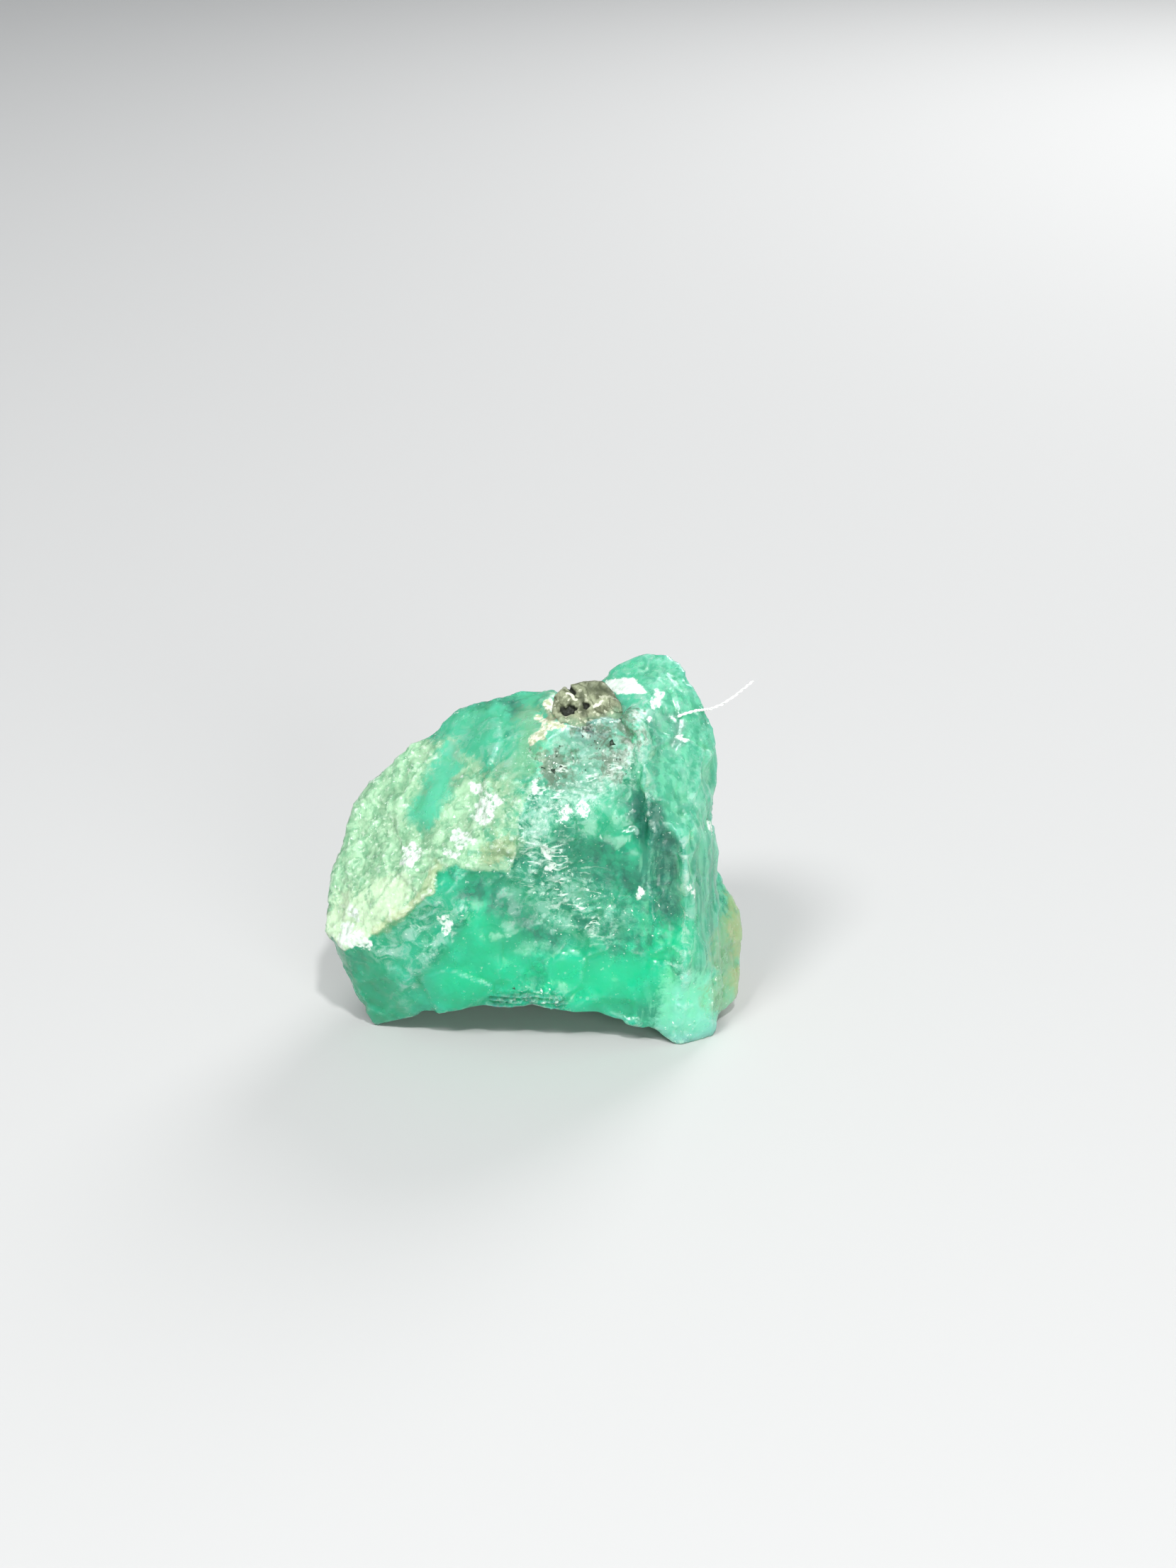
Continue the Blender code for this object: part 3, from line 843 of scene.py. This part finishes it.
def schist_material():
    """Dull grey-brown schist in leaves, with a few bright mica plates."""
    paint = Paint("mica_schist")
    grit = paint.noise(0.22, 7.0, roughness=0.68)
    value, tilt = paint.shards(0.06)
    colour = paint.mix(paint.step(grit, 0.36, 0.62), (0.085, 0.10, 0.050), (0.30, 0.34, 0.21))
    colour = paint.cover(colour, paint.mask("green"), 0.7, (0.20, 0.42, 0.26))
    seam = paint.mix(paint.mask("layer"), (0.25, 0.27, 0.20), (1.0, 1.0, 1.0))
    colour = paint.mix(paint.step(value, 0.90, 0.93, 0.0, 0.7), colour, (0.55, 0.58, 0.42))
    colour = paint.cover(colour, paint.mask("crest"), 0.30, (0.46, 0.50, 0.34))
    colour = paint.product(colour, seam)
    colour = paint.cover(colour, paint.mask("shade"), 0.8, (0.050, 0.065, 0.030))
    colour = paint.mix(paint.step(paint.mask("glint"), 0.35, 0.6), colour, (0.66, 0.70, 0.54))
    # painted shade: near black inside the pits and the slit
    colour = paint.mix(paint.step(paint.mask("pit"), 0.15, 0.6), colour, (0.014, 0.018, 0.010))
    paint.set(Base_Color=colour)
    paint.set(Roughness=paint.step(value, 0.7, 0.85, 0.75, 0.25))
    relief = paint.bump(grit, 0.05, 0.8)
    paint.set(Normal=paint.bump(tilt, TILT, 0.35, relief))
    return paint.material


def mica_material():
    """Nearly black mica."""
    paint = Paint("black_mica")
    tone = paint.step(paint.noise(0.06, 3.0), 0.4, 0.6)
    colour = paint.mix(tone, (0.008, 0.020, 0.012), (0.03, 0.06, 0.038))
    paint.set(Base_Color=colour, Roughness=paint.step(paint.noise(0.04, 2.0), 0.4, 0.6, 0.2, 0.5))
    return paint.material


def veil_material():
    """A pale film, mottled between green and white."""
    paint = Paint("healed_fracture")
    tone = paint.step(paint.noise(0.15, 5.0), 0.4, 0.6)
    colour = paint.mix(tone, (0.25, 0.62, 0.45), (0.75, 0.90, 0.82))
    paint.set(Base_Color=colour, Roughness=paint.step(paint.noise(0.1, 3.0), 0.4, 0.6, 0.3, 0.6))
    return paint.material


def lint_material():
    """White cotton."""
    paint = Paint("white_lint")
    tone = paint.step(paint.noise(0.05, 3.0), 0.4, 0.6)
    colour = paint.mix(tone, (0.72, 0.72, 0.70), (0.92, 0.92, 0.90))
    paint.set(Base_Color=colour, Roughness=0.7)
    paint.set(Normal=paint.bump(paint.noise(0.012, 3.0), 0.003))
    return paint.material


# ---------------------------------------------------------------- stage

# The camera's distance from the stone and its moves off the stone's middle, and its focal length.
CAMERA_AWAY = 60.0
STONE_MIDDLE = (-0.055, 0.01, 3.49)
SHIFT_RIGHT = 1.175
SHIFT_UP = 1.398
LENS = 63.57

# The floor's flat radius and the radius that it curves up by, in metres.
FLOOR_FLAT = 0.2
FLOOR_RISE = 0.35
FLOOR_STEPS = 12

SKY_STRENGTH = 0.42


def make_camera():
    """Looks down at the stone by the lean angle, with the stone left of and below the middle."""
    data = bpy.data.cameras.new("camera")
    data.lens = LENS
    data.sensor_width = 36.0
    data.clip_start = 0.001
    data.clip_end = 10.0
    camera = bpy.data.objects.new("camera", data)
    ahead = Vector((0, math.cos(LEAN), -math.sin(LEAN)))
    above = Vector((0, math.sin(LEAN), math.cos(LEAN)))
    place = Vector(STONE_MIDDLE) - ahead * CAMERA_AWAY + Vector((SHIFT_RIGHT, 0, 0)) + above * SHIFT_UP
    camera.location = place * MM
    camera.rotation_mode = "QUATERNION"
    camera.rotation_quaternion = ahead.to_track_quat("-Z", "Y")
    bpy.context.scene.collection.objects.link(camera)
    bpy.context.scene.camera = camera


def make_floor():
    """A pale plain floor, in metres, that curves up far behind the stone on every side."""
    outline = [(0.0, 0.0), (0.1, 0.0)]
    for turn in range(FLOOR_STEPS + 1):
        angle = math.radians(90 * turn / FLOOR_STEPS)
        outline.append((FLOOR_FLAT + FLOOR_RISE * math.sin(angle), FLOOR_RISE * (1 - math.cos(angle))))
    shape = bmesh.new()
    verts = [shape.verts.new((radius, 0, height)) for radius, height in outline]
    edges = [shape.edges.new(pair) for pair in zip(verts[:-1], verts[1:])]
    bmesh.ops.spin(shape, geom=verts + edges, cent=(0, 0, 0), axis=(0, 0, 1), angle=2 * math.pi, steps=96)
    bmesh.ops.remove_doubles(shape, verts=shape.verts, dist=1e-5)
    bmesh.ops.recalc_face_normals(shape, faces=shape.faces)
    mesh = bpy.data.meshes.new("floor")
    shape.to_mesh(mesh)
    shape.free()
    mesh.shade_smooth()
    floor = bpy.data.objects.new("floor", mesh)
    bpy.context.scene.collection.objects.link(floor)
    paint = Paint("floor_paper")
    paint.set(Base_Color=(0.52, 0.52, 0.515), Roughness=0.9)
    floor.data.materials.append(paint.material)


def area_light(name, place, aim, size, power):
    """A round lamp of a size in millimetres that shines from a place at its aim."""
    data = bpy.data.lights.new(name, "AREA")
    data.shape = "DISK"
    data.size = size * MM
    data.energy = power
    lamp = bpy.data.objects.new(name, data)
    lamp.location = Vector(place) * MM
    lamp.rotation_mode = "QUATERNION"
    lamp.rotation_quaternion = (Vector(aim) - Vector(place)).to_track_quat("-Z", "Y")
    bpy.context.scene.collection.objects.link(lamp)


def make_light():
    """A pale even sky and four lamps, with the key light high on the left."""
    bpy.context.scene.view_settings.view_transform = "Standard"
    world = bpy.data.worlds.new("studio")
    bpy.context.scene.world = world
    world.use_nodes = True
    sky = world.node_tree.nodes["Background"]
    sky.inputs["Color"].default_value = (0.9, 0.95, 1.0, 1.0)
    sky.inputs["Strength"].default_value = SKY_STRENGTH
    middle = (0, 0, 3.5)
    area_light("key", (-70, -90, 160), middle, 50, 0.19)
    area_light("glint", (15, -70, 110), middle, 9, 0.09)
    area_light("rim", (60, 110, 80), middle, 70, 0.13)
    area_light("fill", (55, -125, 30), middle, 80, 0.12)


def add_piece(piece, material, node=None):
    """Finishes a piece: it moves with the stone, and may stand for a CAD node."""
    piece.data.materials.append(material)
    piece.data.shade_smooth()
    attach(piece, "root")
    if node:
        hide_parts(node)


make_camera()
make_floor()
make_light()
emerald = shape_emerald()
add_piece(emerald, emerald_material(), "emerald")
add_piece(shape_grain(), schist_material(), "schist_grain")
add_piece(mica_specks(emerald), mica_material())
add_piece(healed_veils(emerald), veil_material())
add_piece(lint_fibre(emerald), lint_material())
